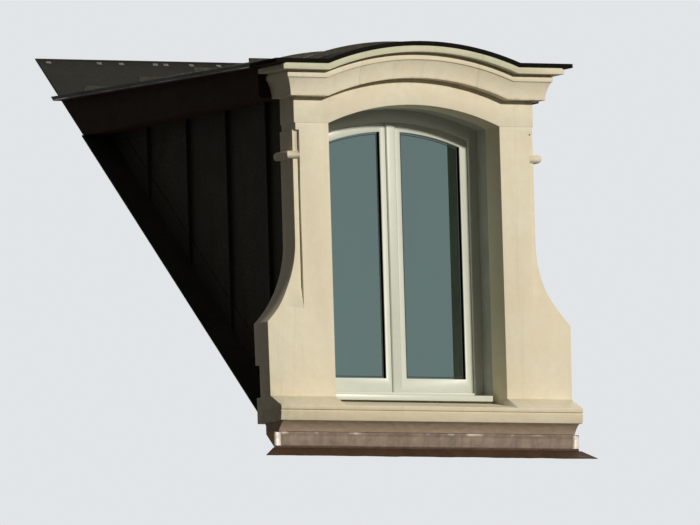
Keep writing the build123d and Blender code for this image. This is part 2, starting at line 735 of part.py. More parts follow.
def solids():
    """Every piece by its node name."""
    left_stone, centre_stone, right_stone = cornice_stones()
    pieces = {
        "front_curb": front_curb(),
        "sill_bed": sill_bed(),
        "sill_stone": sill_stone(),
        "lintel": lintel(),
        "left_cornice": left_stone,
        "centre_cornice": centre_stone,
        "right_cornice": right_stone,
        "cornice_cap": cornice_cap(),
        "roof_deck": roof_deck(),
        "roof_sheets": zinc_sheets(),
        "standing_seams": standing_seams(),
        "rear_flashing": rear_flashing(),
        "roof_joists": roof_joists(),
        "rear_trimmer": rear_trimmer(),
        "lead_apron": lead_apron(),
        "head_beam": head_beam(),
        "reveal_lining": reveal_lining(),
        "sill_trimmer": sill_trimmer(),
        "ceiling_lining": ceiling_lining(),
        "window_bar": window_bar(),
        "window_frame": window_frame(),
        "astragal": astragal(),
    }
    handed = {
        "jamb": scroll_jamb(),
        "post": side_post(),
        "cheek_curb": cheek_curb(),
        "cheek_wall": cheek_wall(),
        "cheek_cladding": cheek_cladding(),
        "cheek_lining": cheek_lining(),
        "side_flashing": side_flashing(),
        "fascia": fascia(),
        "soffit": soffit(),
        "sash": sash(),
        "glass": glass(),
    }
    for name, piece in handed.items():
        pieces["right_" + name] = piece
        pieces["left_" + name] = mirrored(piece)
    return pieces


os.makedirs("parts", exist_ok=True)
for node, solid in solids().items():
    export_step(solid, os.path.join("parts", node + ".step"))
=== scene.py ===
from math import cos, pi, radians, sin, sqrt, tan

import bmesh
import bpy
from mathutils import Matrix, Vector, noise


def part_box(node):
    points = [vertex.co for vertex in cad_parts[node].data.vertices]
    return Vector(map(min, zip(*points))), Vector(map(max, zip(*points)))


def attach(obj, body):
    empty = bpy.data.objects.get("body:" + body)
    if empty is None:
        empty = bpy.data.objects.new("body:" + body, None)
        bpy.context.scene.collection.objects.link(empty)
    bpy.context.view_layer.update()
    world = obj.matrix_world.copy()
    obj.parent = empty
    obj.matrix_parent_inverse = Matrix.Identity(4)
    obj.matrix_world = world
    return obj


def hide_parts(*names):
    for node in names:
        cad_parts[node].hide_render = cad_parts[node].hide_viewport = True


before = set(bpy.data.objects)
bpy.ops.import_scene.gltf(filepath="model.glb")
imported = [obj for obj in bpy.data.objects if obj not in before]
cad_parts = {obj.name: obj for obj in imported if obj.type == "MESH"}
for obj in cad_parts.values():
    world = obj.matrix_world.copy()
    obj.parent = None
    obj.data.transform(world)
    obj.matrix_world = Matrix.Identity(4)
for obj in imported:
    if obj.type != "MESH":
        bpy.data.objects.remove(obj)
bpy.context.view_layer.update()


def low(node):
    """Lowest corner of a node."""
    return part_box(node)[0]


def high(node):
    """Highest corner of a node."""
    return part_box(node)[1]


# The slope that the dormer stands on, and the fall of its own roof
PITCH = radians(40.0)
SLOPE = tan(PITCH)
ROOF_RISE = tan(radians(1.3))

# Places and sizes read from the frame, in metres
STONE_BACK = high("lintel").y
SPRING_Z = low("lintel").z
SILL_TOP = high("sill_stone").z
OPENING_HALF = high("window_frame").x
ARCH_TOP = high("window_frame").z
ARCH_RISE = ARCH_TOP - SPRING_Z
OPENING_R = (OPENING_HALF ** 2 + ARCH_RISE ** 2) / (2 * ARCH_RISE)
ARCH_Z = ARCH_TOP - OPENING_R
PANE_IN = low("right_glass").x
PANE_OUT = high("right_glass").x
PANE_FOOT = low("right_glass").z
PANE_R = sqrt(PANE_IN ** 2 + (high("right_glass").z - ARCH_Z) ** 2)
PANE_FRONT = low("right_glass").y
PANE_BACK = high("right_glass").y
LEAF_BACK = high("right_sash").y
SOFFIT_Z = low("right_soffit").z
APRON_TOP = high("lead_apron").z
APRON_RISE = low("lead_apron").z - low("lead_apron").y * SLOPE
CHEEK_X = high("right_cheek_cladding").x
SHOULDER_Z = low("left_cornice").z
LINTEL_R = high("lintel").z - ARCH_Z

SIDES = (("right", 1.0), ("left", -1.0))


def slope_z(y):
    """Height of the roof slope at a depth."""
    return y * SLOPE


def arc_z(radius, x):
    """Height of a circle round the arch's centre, at a distance from the middle."""
    return ARCH_Z + sqrt(radius ** 2 - x ** 2)


def tone(red, green, blue):
    """Linear colour of an sRGB tone given in 0 to 255."""
    values = []
    for part in (red, green, blue):
        share = part / 255
        values.append(share / 12.92 if share <= 0.04045 else ((share + 0.055) / 1.055) ** 2.4)
    return (*values, 1.0)


class Nodes:
    """Makes and links the nodes of one tree."""

    def __init__(self, tree):
        self.tree = tree

    def feed(self, node, inputs):
        """Puts a value or a link on each of these inputs of a node."""
        for label, source in inputs.items():
            if isinstance(source, bpy.types.NodeSocket):
                self.tree.links.new(source, node.inputs[label])
            else:
                node.inputs[label].default_value = source

    def add(self, kind, inputs=None, **settings):
        """A new node with these settings and inputs."""
        node = self.tree.nodes.new(kind)
        for setting, value in settings.items():
            setattr(node, setting, value)
        self.feed(node, inputs or {})
        return node

    def math(self, operation, first, second):
        return self.add("ShaderNodeMath", {0: first, 1: second}, operation=operation).outputs[0]


class Finish(Nodes):
    """One surface finish: a shader and the patterns that feed it."""

    def __init__(self, name, gloss, constants=None):
        self.material = bpy.data.materials.new(name)
        self.material.use_nodes = True
        super().__init__(self.material.node_tree)
        self.shader = self.tree.nodes["Principled BSDF"]
        self.feed(self.shader, {"Specular IOR Level": gloss, **(constants or {})})
        self.place = self.add("ShaderNodeTexCoord").outputs["Object"]
        self.body = None
        self.bumps = {}

    def times(self, first, second):
        return self.math("MULTIPLY", first, second)

    def plus(self, first, second):
        return self.math("ADD", first, second)

    def mapped(self, socket, value):
        """Object coordinates scaled along the axes or turned about them."""
        return self.add("ShaderNodeMapping", {socket: value, "Vector": self.place}).outputs["Vector"]

    def pattern(self, kind, stretch, inputs, **settings):
        """A texture node on stretched object coordinates."""
        return self.add(kind, {"Vector": self.mapped("Scale", stretch), **inputs}, **settings)

    def cloud(self, scale, detail=4.0, rough=0.6, warp=0.0):
        """Soft noise from 0 to 1. Its scale is one number, or three along the axes."""
        stretch = (scale, scale, scale) if isinstance(scale, float) else scale
        inputs = {"Scale": 1.0, "Detail": detail, "Roughness": rough, "Distortion": warp}
        return self.pattern("ShaderNodeTexNoise", stretch, inputs).outputs["Fac"]

    def cells(self, scale):
        """Distance to the nearest of scattered points."""
        return self.pattern("ShaderNodeTexVoronoi", (1, 1, 1), {"Scale": scale}).outputs["Distance"]

    def rings(self, scale, stretch, warp, detail=3.0):
        """Slanting bands, as the growth rings that show on each side of sawn wood."""
        inputs = {"Scale": scale, "Distortion": warp, "Detail": detail}
        return self.pattern("ShaderNodeTexWave", stretch, inputs, bands_direction="DIAGONAL").outputs["Fac"]

    def spread(self, source, start, end, to_start=0.0, to_end=1.0):
        """A pattern's range moved to another, and kept in it."""
        inputs = {"Value": source, "From Min": start, "From Max": end, "To Min": to_start, "To Max": to_end}
        return self.add("ShaderNodeMapRange", inputs).outputs["Result"]

    def axes(self):
        """The three measures of a place."""
        return self.add("ShaderNodeSeparateXYZ", {0: self.place}).outputs

    def reach(self, axis, start, end):
        """Share from 0 at one place to 1 at another along an axis."""
        return self.spread(self.axes()[axis], start, end)

    def over_lintel(self):
        """How far a place lies above the line of the lintel's top: flat, arch, flat."""
        axes = self.axes()
        from_centre = self.add("ShaderNodeCombineXYZ", {"X": axes["X"], "Z": self.plus(axes["Z"], -ARCH_Z)})
        length = self.add("ShaderNodeVectorMath", {0: from_centre.outputs[0]}, operation="LENGTH")
        over_arch = self.plus(length.outputs["Value"], -LINTEL_R)
        return self.math("MINIMUM", self.plus(axes["Z"], -SHOULDER_Z), over_arch)

    def mix(self, share, first, second):
        """From the first colour to the second by a share."""
        return self.add("ShaderNodeMix", {0: share, 6: first, 7: second}, data_type="RGBA").outputs[2]

    def colour(self, source):
        """Sets the colour that later coats lie on."""
        self.body = source
        self.feed(self.shader, {"Base Color": source})

    def base(self, share, first, second):
        """Starts the colour as a mix of two sRGB tones."""
        self.colour(self.mix(share, tone(*first), tone(*second)))

    def coat(self, share, shade, strength=1.0):
        """Lays an sRGB tone over the colour by a share, at a strength."""
        self.colour(self.mix(self.times(share, strength), self.body, tone(*shade)))

    def roughness(self, pattern, to_start, to_end, start=0.0, end=1.0):
        """Roughness from one value to another over a pattern's range."""
        self.feed(self.shader, {"Roughness": self.spread(pattern, start, end, to_start, to_end)})

    def relief(self, height, depth):
        """Adds a bump of a depth in metres over those before it."""
        bump = self.add("ShaderNodeBump", {"Distance": depth, "Height": height, **self.bumps})
        self.bumps = {"Normal": bump.outputs["Normal"]}
        self.feed(self.shader, self.bumps)


def dressed_limestone():
    """Pale cast limestone: faint clouds, fine grain, pinholes, thin rain streaks, algae, and darker spots
    under the cornice's drip and the sill.
    """
    stone = Finish("dressed_limestone", 0.22)
    clouds = stone.spread(stone.cloud(2.3, 3.0, 0.6), 0.34, 0.68)
    mottle = stone.spread(stone.cloud(24.0, 6.0, 0.68), 0.3, 0.72)
    streaks = stone.spread(stone.cloud((15, 15, 0.9), 5.0, 0.62, 0.4), 0.56, 0.78, 0.0, 0.30)
    specks = stone.spread(stone.cells(210.0), 0.0, 0.16, 0.35, 0.0)
    stone.base(clouds, (229, 219, 192), (236, 229, 207))
    stone.coat(mottle, (217, 204, 174), 0.38)
    stone.coat(streaks, (184, 172, 146))
    stone.coat(specks, (171, 153, 126))
    algae_side = stone.times(stone.reach("X", -0.66, -0.86), stone.reach("Z", 0.34, 0.12))
    algae = stone.spread(stone.cloud(19.0, 5.0, 0.7), 0.42, 0.66, 0.0, 0.75)
    stone.coat(stone.times(algae_side, algae), (150, 164, 128))
    over = stone.over_lintel()
    fillet = stone.times(stone.spread(over, 0.119, 0.126), stone.reach("X", 0.70, 0.45))
    film = stone.spread(stone.cloud((9, 9, 30), 5.0, 0.65), 0.3, 0.62, 0.25, 0.85)
    stone.coat(stone.times(fillet, film), (196, 202, 172))
    sill_front = stone.reach("Z", SILL_TOP - 0.045, SILL_TOP - 0.066)
    damp = stone.spread(stone.cloud((7, 7, 26)), 0.25, 0.7, 0.25, 0.6)
    stone.coat(stone.times(sill_front, damp), (200, 186, 154))
    # Darker spots in a band that fades down from the cornice's drip onto the lintel, and on the stone below
    # the sill's lower edge.
    under_drips = stone.times(stone.spread(over, -0.050, 0.004), stone.spread(over, 0.012, 0.004))
    darkening = stone.plus(under_drips, stone.reach("Z", SILL_TOP - 0.122, SILL_TOP - 0.128))
    spots = stone.spread(stone.cloud((22, 22, 5), 4.0, 0.65), 0.46, 0.74, 0.0, 0.42)
    stone.coat(stone.times(darkening, spots), (160, 147, 120))
    stone.roughness(mottle, 0.80, 0.93)
    stone.relief(stone.cloud(34.0, 5.0, 0.6), 0.0012)
    stone.relief(stone.cloud(520.0, 2.0, 0.5), 0.0005)
    stone.relief(stone.spread(stone.cells(150.0), 0.0, 0.20), 0.0006)
    return stone.material


def bedding_mortar():
    """Warm grey bedding mortar, sandy and uneven."""
    mortar = Finish("bedding_mortar", 0.18, {"Roughness": 0.95})
    patches = mortar.spread(mortar.cloud(9.0, 6.0, 0.7), 0.3, 0.7)
    sand = mortar.spread(mortar.cells(330.0), 0.0, 0.6)
    mortar.base(patches, (186, 165, 142), (201, 181, 157))
    mortar.coat(sand, (150, 131, 109), 0.4)
    mortar.relief(mortar.cloud(46.0, 6.0, 0.7), 0.0030)
    mortar.relief(sand, 0.0010)
    return mortar.material


def weathered_zinc(name, shade, bloom_share, gloss):
    """Dull dark zinc: a cloudy patina, runs down its face and faint waves in the sheet.
    The shade darkens it and the bloom is the share of pale oxide on it."""
    zinc = Finish(name, gloss, {"Metallic": 0.08})

    def shaded(*parts):
        return [part * shade for part in parts]

    patina = zinc.spread(zinc.cloud(5.0, 6.0, 0.65, warp=0.5), 0.34, 0.66)
    runs = zinc.spread(zinc.cloud((2.2, 26, 2.2), 5.0, 0.6), 0.48, 0.72)
    bloom = zinc.spread(zinc.cloud(60.0, 5.0, 0.7), 0.42, 0.74)
    bloom = zinc.times(bloom, zinc.spread(zinc.cloud(1.6), 0.38, 0.66, 0.25, 1.0))
    zinc.base(patina, shaded(36, 35, 29), shaded(49, 48, 41))
    zinc.coat(runs, shaded(29, 26, 21), 0.45)
    zinc.coat(bloom, shaded(98, 95, 84), bloom_share)
    zinc.roughness(patina, 0.62, 0.80)
    zinc.relief(zinc.cloud(4.5, 2.0, 0.4), 0.0035)
    zinc.relief(zinc.cloud(130.0), 0.0003)
    return zinc.material


def rubbed_zinc_edge():
    """Folded zinc edges, paler than the sheet: partly rubbed zinc, partly a painted reflection of the bright
    sky, with bright spots in places.
    """
    edge = Finish("rubbed_zinc_edge", 0.35, {"Metallic": 0.55})
    # The paler tone and the bright spots partly paint the sky's reflection on the drip faces and partly show
    # rubbed zinc.
    rub_and_sheen = edge.spread(edge.cloud((18, 5.5, 18)), 0.40, 0.62)
    edge.base(rub_and_sheen, (44, 42, 39), (86, 82, 78))
    edge.coat(edge.spread(edge.cloud((9, 3.1, 9), 2.0, 0.5), 0.56, 0.66), (178, 172, 166))
    edge.roughness(rub_and_sheen, 0.66, 0.46)
    edge.relief(edge.cloud(60.0), 0.0006)
    return edge.material


def bright_cleats():
    """Newer zinc of the small cleats, still pale."""
    cleat = Finish("bright_cleat_zinc", 0.35, {"Metallic": 0.45})
    dull = cleat.spread(cleat.cloud(90.0), 0.4, 0.7)
    cleat.base(dull, (126, 121, 114), (94, 89, 82))
    cleat.roughness(dull, 0.44, 0.60)
    cleat.relief(cleat.cloud(160.0), 0.0003)
    return cleat.material


def dressed_lead():
    """Lead sheet beaten to shape: grey-mauve patina, scuffs, painted highlights in dashes along the top, and
    a flange darkened partly by stain and partly by painted shade.
    """
    lead = Finish("dressed_lead", 0.35, {"Metallic": 0.15})
    patina = lead.spread(lead.cloud(9.0, 6.0, 0.66, warp=0.8), 0.3, 0.7)
    tarnish = lead.spread(lead.cloud((22, 5, 5), 5.0, 0.6), 0.42, 0.68)
    scuffs = lead.spread(lead.cloud((16, 60, 40), 6.0, 0.75, 1.2), 0.62, 0.76)
    # Painted highlights: pale dashes along the apron's top edge, where the light catches it.
    highlight_dashes = lead.spread(lead.cloud((6, 1, 1), 3.0, 0.6), 0.54, 0.66)
    highlight_dashes = lead.times(lead.reach("Z", APRON_TOP - 0.015, APRON_TOP - 0.005), highlight_dashes)
    lead.base(patina, (116, 100, 86), (138, 121, 106))
    lead.coat(tarnish, (92, 79, 68), 0.6)
    lead.coat(scuffs, (204, 193, 184), 0.7)
    lead.coat(highlight_dashes, (214, 204, 194), 0.8)
    axes = lead.axes()
    over_slope = lead.plus(axes["Z"], lead.times(axes["Y"], -SLOPE))
    # The flange is darkened partly by stain and partly by painted shade along the foot of the apron.
    flange = lead.spread(over_slope, APRON_RISE + 0.016, APRON_RISE + 0.009)
    stain_and_shade = lead.spread(lead.cloud(14.0, 5.0, 0.7), 0.35, 0.7)
    lead.colour(lead.mix(flange, lead.body, lead.mix(stain_and_shade, tone(54, 35, 19), tone(74, 51, 31))))
    lead.roughness(scuffs, 0.60, 0.36)
    lead.relief(lead.cells(26.0), 0.0026)
    lead.relief(lead.cloud(90.0, 5.0, 0.65), 0.0007)
    return lead.material


def bright_lead():
    """Lead on the folded ends, pale partly from rubbing and partly as a painted highlight on the rounded
    folds.
    """
    bright = Finish("bright_lead_fold", 0.5, {"Metallic": 0.15})
    # The near-white tone partly paints the highlight on the rounded folds.
    rub_and_sheen = bright.spread(bright.cloud((40, 40, 14)), 0.34, 0.62)
    bright.base(rub_and_sheen, (176, 164, 152), (240, 232, 222))
    bright.roughness(rub_and_sheen, 0.58, 0.38)
    bright.relief(bright.cloud(80.0), 0.0008)
    return bright.material


def sawn_softwood(grain):
    """Sawn softwood with its grain along X or Z or up the roof slope, greyed a little."""
    wood = Finish("sawn_softwood_" + grain.lower(), 0.25)
    if grain == "slope":
        wood.place = wood.mapped("Rotation", (-PITCH, 0, 0))

    def drawn(across, lengthwise):
        """Stretch of a pattern that is drawn out along the grain."""
        length_axis = ("X", "slope", "Z").index(grain)
        return [lengthwise if axis == length_axis else across for axis in range(3)]

    rings = wood.rings(24.0, drawn(1, 0.05), 4.0)
    tint = wood.spread(wood.cloud(drawn(15, 0.7)), 0.3, 0.7)
    fibres = wood.cloud(drawn(330, 9), 3.0, 0.6)
    wood.base(tint, (188, 152, 108), (166, 131, 92))
    wood.coat(rings, (132, 96, 62), 0.34)
    wood.coat(wood.spread(fibres, 0.45, 0.75, 0.0, 0.35), (112, 86, 62))
    wood.roughness(fibres, 0.66, 0.86, 0.2, 0.8)
    wood.relief(rings, 0.0004)
    wood.relief(fibres, 0.0005)
    return wood.material


def stained_boards(axis, stretch):
    """Eave boards along an axis, under a dark brown stain that lets the grain show."""
    board = Finish("stained_eave_board_" + axis, 0.015)
    grain = board.cloud(stretch, 5.0, 0.65)
    wear = board.spread(board.cloud(7.0, 5.0, 0.6), 0.4, 0.75)
    board.base(board.spread(grain, 0.3, 0.7), (36, 27, 22), (52, 40, 32))
    board.coat(wear, (72, 58, 47), 0.4)
    board.roughness(grain, 0.60, 0.80, 0.2, 0.8)
    board.relief(grain, 0.0005)
    return board.material


def casement_paint():
    """White joinery paint, slightly cool, brushed along the timber, with grime in its low spots."""
    paint = Finish("casement_paint", 0.5, {"Coat Weight": 0.12, "Coat Roughness": 0.25})
    brush = paint.cloud((60, 60, 4))
    darkening = paint.spread(paint.cloud(8.0, 5.0, 0.65), 0.5, 0.8, 0.0, 0.22)
    paint.base(darkening, (203, 206, 192), (172, 175, 158))
    paint.roughness(brush, 0.34, 0.48, 0.2, 0.8)
    paint.relief(brush, 0.00025)
    paint.relief(paint.cloud(700.0, 2.0, 0.5), 0.00006)
    return paint.material


def reveal_paint():
    """Grey-green paint on the reveal lining, darker than the frame's white, which partly paints the shade
    deep in the reveal; darker still in patches.
    """
    paint = Finish("reveal_lining_paint", 0.3)
    brush = paint.cloud((50, 50, 4))
    darkening = paint.spread(paint.cloud(7.0, 5.0, 0.65), 0.4, 0.75, 0.0, 0.5)
    # The grey tone, darker than the frame's white, partly paints the shade deep in the reveal.
    paint.base(darkening, (188, 190, 182), (142, 140, 128))
    paint.roughness(brush, 0.50, 0.64, 0.2, 0.8)
    paint.relief(brush, 0.0003)
    return paint.material


def pane_glass():
    """Double glazing, dark, smooth and strongly mirroring, with faint waves; its dark colour paints the dim
    room behind it.
    """
    pane = Finish("pane_glass", 0.5, {
        "IOR": 2.66, "Specular Tint": tone(214, 255, 248), "Coat Weight": 0.35, "Coat Roughness": 0.01,
    })
    film = pane.spread(pane.cloud(3.0), 0.35, 0.75)
    rain = pane.spread(pane.cloud((16, 16, 1.3)), 0.42, 0.72)
    dust = pane.plus(pane.times(film, 0.6), pane.times(rain, 0.4))
    dust = pane.times(dust, pane.reach("Z", PANE_FOOT + 1.3, PANE_FOOT))
    # The dark base colour paints the dim room seen through the glass.
    pane.base(dust, (16, 23, 22), (40, 46, 43))
    pane.roughness(film, 0.012, 0.045)
    pane.relief(pane.cloud(2.1, 1.0, 0.3), 0.0006)
    return pane.material


def glazing_gasket():
    """Dark rubber between glass and bead."""
    rubber = Finish("glazing_gasket", 0.35)
    dust = rubber.spread(rubber.cloud(70.0), 0.45, 0.75, 0.0, 0.4)
    rubber.base(dust, (30, 31, 31), (66, 65, 61))
    rubber.roughness(dust, 0.55, 0.8, 0.0, 0.4)
    return rubber.material


def room_board():
    """Painted lining board with the stipple of a roller."""
    board = Finish("painted_lining_board", 0.28)
    board.base(board.spread(board.cloud(1.7, 3.0, 0.5), 0.35, 0.7), (226, 223, 214), (233, 231, 224))
    board.roughness(board.cloud(30.0, 3.0, 0.5), 0.78, 0.88, 0.3, 0.7)
    board.relief(board.cloud(260.0, 3.0, 0.55), 0.0005)
    return board.material


def brushed_fittings():
    """Satin steel of the hinges and the bolt, brushed lengthwise."""
    steel = Finish("satin_window_fitting", 0.5, {"Metallic": 1.0})
    brush = steel.cloud((900, 900, 18))
    steel.base(steel.spread(steel.cloud(40.0, 4.0, 0.5), 0.4, 0.7), (176, 174, 168), (150, 148, 143))
    steel.roughness(brush, 0.26, 0.44, 0.2, 0.8)
    steel.relief(brush, 0.00008)
    return steel.material


STONE = dressed_limestone()
MORTAR = bedding_mortar()
ZINC = weathered_zinc("weathered_roof_zinc", 1.02, 0.38, 0.12)
SEAM_ZINC = weathered_zinc("weathered_seam_zinc", 1.22, 0.46, 0.12)
FLASHING_ZINC = weathered_zinc("weathered_flashing_zinc", 0.86, 0.26, 0.12)
# The cap's zinc is much darker than the roof's: partly weathering, partly painted shade along the cap's front
# edge.
CAP_ZINC = weathered_zinc("weathered_cap_zinc", 0.60, 0.12, 0.0)
CHEEK_ZINC = weathered_zinc("weathered_cheek_zinc", 1.15, 0.30, 0.02)
ZINC_EDGE = rubbed_zinc_edge()
CLEAT_ZINC = bright_cleats()
LEAD = dressed_lead()
LEAD_FOLD = bright_lead()
WOOD_X = sawn_softwood("X")
WOOD_SLOPE = sawn_softwood("slope")
WOOD_Z = sawn_softwood("Z")
EAVE_X = stained_boards("x", (3, 120, 120))
EAVE_Y = stained_boards("y", (120, 3, 120))
PAINT = casement_paint()
REVEAL = reveal_paint()
GLASS = pane_glass()
GASKET = glazing_gasket()
LINING = room_board()
FITTING = brushed_fittings()


# Pieces and meshes
EASED_FROM = radians(28)
FLAT_UP_TO = radians(0.4)

delete = bpy.data.objects.remove


def placed(name, data):
    """A new object in the scene."""
    thing = bpy.data.objects.new(name, data)
    bpy.context.scene.collection.objects.link(thing)
    return thing


def plain_mesh(name, points, edges=(), faces=()):
    """Mesh from points and the edges or faces between them."""
    mesh = bpy.data.meshes.new(name)
    mesh.from_pydata([tuple(p) for p in points], edges, faces)
    return mesh


def outward(mesh):
    """Merges doubled points and turns every face outwards."""
    shape = bmesh.new()
    shape.from_mesh(mesh)
    bmesh.ops.remove_doubles(shape, verts=shape.verts, dist=1e-6)
    bmesh.ops.recalc_face_normals(shape, faces=shape.faces)
    shape.to_mesh(mesh)
    shape.free()


def add_piece(name, mesh, angle, material, slot, *replaced):
    """Adds a mesh as a piece of its own, smoothed up to an angle in degrees or flat without one."""
    if angle is None:
        mesh.shade_flat()
    else:
        mesh.shade_smooth()
        mesh.set_sharp_from_angle(angle=radians(angle))
    mesh.name = name
    mesh.materials.clear()
    mesh.materials.append(material)
    piece = placed(name, mesh)
    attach(piece, "root")
    if replaced:
        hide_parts(*replaced)


def joined(parts):
    """One set of points and faces from several."""
    points, faces = [], []
    for part_points, part_faces in parts:
        start = len(points)
        points += part_points
        faces += [[start + i for i in face] for face in part_faces]
    return points, faces


def shape_mesh(name, parts):
    """Mesh from sets of points and faces, turned outwards."""
    points, faces = joined(parts)
    mesh = plain_mesh(name, points, (), faces)
    outward(mesh)
    return mesh


def add_shape(name, parts, angle, material, slot, *replaced):
    """Adds a piece made from sets of points and faces."""
    add_piece(name, shape_mesh(name, parts), angle, material, slot, *replaced)


def template_object(name, parts):
    """A hidden shape that a tree copies, deleted afterwards."""
    return placed(name, shape_mesh(name, parts))


def evaluated(source):
    """Plain mesh of an object with its modifiers applied. The object is deleted."""
    graph = bpy.context.evaluated_depsgraph_get()
    mesh = bpy.data.meshes.new_from_object(source.evaluated_get(graph), depsgraph=graph)
    source.modifiers.clear()
    delete(source)
    return mesh


def eased(prefix, nodes, width, material, slot):
    """Shapes of nodes with their outer arrises eased, in their places."""
    for node in nodes:
        shape = bmesh.new()
        shape.from_mesh(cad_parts[node].data)
        bmesh.ops.remove_doubles(shape, verts=shape.verts, dist=1e-5)
        bmesh.ops.dissolve_limit(shape, angle_limit=FLAT_UP_TO, verts=shape.verts, edges=shape.edges)
        weight = shape.edges.layers.float.new("bevel_weight_edge")
        for edge in shape.edges:
            if len(edge.link_faces) == 2 and edge.is_convex and edge.calc_face_angle() > EASED_FROM:
                edge[weight] = 1.0
        mesh = bpy.data.meshes.new(node + "_blank")
        shape.to_mesh(mesh)
        shape.free()
        blank = placed(node + "_blank", mesh)
        bevel = blank.modifiers.new("eased", "BEVEL")
        bevel.width = width
        bevel.segments = 2
        bevel.limit_method = "WEIGHT"
        add_piece(prefix + node, evaluated(blank), 32, material, slot, node)


# Shapes from points and faces
SHARPEST_MITRE = 0.2


def skinned(rows, width, looped=False):
    """Faces between rows of points that are closed rings. The end rows are filled, or looped together."""
    faces = []
    for i in range(rows if looped else rows - 1):
        row, step = i * width, (i + 1) % rows * width
        faces += [[row + k, row + (k + 1) % width, step + (k + 1) % width, step + k] for k in range(width)]
    if not looped:
        last = (rows - 1) * width
        faces += [list(range(width - 1, -1, -1)), list(range(last, last + width))]
    return faces


def box_part(x_from, x_to, y_from, y_to, z_from, z_to):
    """Points and faces of a square-edged block."""
    points = [Vector((x, y, z)) for x in (x_from, x_to) for y in (y_from, y_to) for z in (z_from, z_to)]
    faces = [[0, 1, 3, 2], [4, 6, 7, 5], [0, 4, 5, 1], [2, 3, 7, 6], [0, 2, 6, 4], [1, 5, 7, 3]]
    return points, faces


def mitred_run(path, section, normal):
    """A section carried round a closed flat path and mitred at its corners.
    Its first measure is to the left of the path, seen against the normal, and its second along the normal."""
    points = []
    for before, place, after in zip(path[-1:] + path[:-1], path, path[1:] + path[:1]):
        arriving = normal.cross((place - before).normalized())
        leaving = normal.cross((after - place).normalized())
        side = (arriving + leaving).normalized()
        side /= max(side.dot(arriving), SHARPEST_MITRE)
        points += [place + side * out + normal * deep for out, deep in section]
    return points, skinned(len(path), len(section), looped=True)


def round_section(radius, steps):
    """Points round a circle."""
    turns = [2 * pi * k / steps for k in range(steps)]
    return [(radius * cos(t), radius * sin(t)) for t in turns]


def turned(profile, steps):
    """A turned shape from radius and height pairs, up along Z."""
    points = [Vector((x, y, up)) for radius, up in profile for x, y in round_section(radius, steps)]
    return points, skinned(len(profile), steps)


def upright_prism(section, z_from, z_to):
    """A flat outline carried up from one height to another."""
    return [Vector((x, y, z)) for z in (z_from, z_to) for x, y in section], skinned(2, len(section))


def sided(part, sign):
    """Points and faces as they are on the right, or their twin on the left."""
    points, faces = part
    if sign > 0:
        return part
    return [Vector((-p.x, p.y, p.z)) for p in points], [list(reversed(face)) for face in faces]


def rumple(coarse, fine, fine_share):
    """Coarse noise at one place with a share of fine noise at another."""
    return noise.noise(Vector(coarse)) + fine_share * noise.noise(Vector(fine))


# Node trees that repeat a shape or carry a section
class Tree(Nodes):
    """A small geometry tree with named inputs."""

    def __init__(self, name, inputs):
        super().__init__(bpy.data.node_groups.new(name, "GeometryNodeTree"))
        face = self.tree.interface
        face.new_socket("Geometry", in_out="INPUT", socket_type="NodeSocketGeometry")
        for label, kind in inputs.items():
            face.new_socket(label, in_out="INPUT", socket_type="NodeSocket" + kind)
        face.new_socket("Geometry", in_out="OUTPUT", socket_type="NodeSocketGeometry")
        self.source = self.add("NodeGroupInput")

    def __getitem__(self, label):
        """An input of the tree."""
        return self.source.outputs[label]

    def vector(self, **measures):
        """A vector from its measures along X, Y and Z."""
        return self.add("ShaderNodeCombineXYZ", measures).outputs[0]

    def shape_of(self, label):
        """Shape of the object that an input names."""
        info = self.add("GeometryNodeObjectInfo", {"Object": self[label]}, transform_space="ORIGINAL")
        return info.outputs["Geometry"]

    def copies(self, points, label, source):
        """Copies of the template on points, turned or sized by a source."""
        inputs = {"Points": points, "Instance": self.shape_of("Template"), label: source}
        return self.add("GeometryNodeInstanceOnPoints", inputs).outputs["Instances"]

    def finish(self, geometry):
        """Ends the tree with real copies in the given finish."""
        real = self.add("GeometryNodeRealizeInstances", {"Geometry": geometry}).outputs["Geometry"]
        coat = self.add("GeometryNodeSetMaterial", {"Geometry": real, "Material": self["Finish"]})
        self.add("NodeGroupOutput", {"Geometry": coat.outputs["Geometry"]})
        return self.tree


def copies_tree():
    """Copies of a template at given places, each moved and turned a little by a seeded amount."""
    tree = Tree("copies_at_places", {
        "Template": "Object", "Turn": "Vector", "Play": "Vector", "Shift": "Vector", "Seed": "Int",
        "Finish": "Material",
    })

    def scatter(label, seed_shift):
        """A seeded vector between minus and plus an input."""
        most = tree[label]
        least = tree.add("ShaderNodeVectorMath", {0: most, "Scale": -1.0}, operation="SCALE").outputs[0]
        seed = tree.math("ADD", tree["Seed"], seed_shift)
        chance = {0: least, 1: most, "Seed": seed}
        return tree.add("FunctionNodeRandomValue", chance, data_type="FLOAT_VECTOR").outputs[0]

    shifted = {"Geometry": tree["Geometry"], "Offset": scatter("Shift", 1)}
    points = tree.add("GeometryNodeSetPosition", shifted).outputs["Geometry"]
    turn = tree.add("ShaderNodeVectorMath", {0: tree["Turn"], 1: scatter("Play", 2)}, operation="ADD")
    return tree.finish(tree.copies(points, "Rotation", turn.outputs[0]))


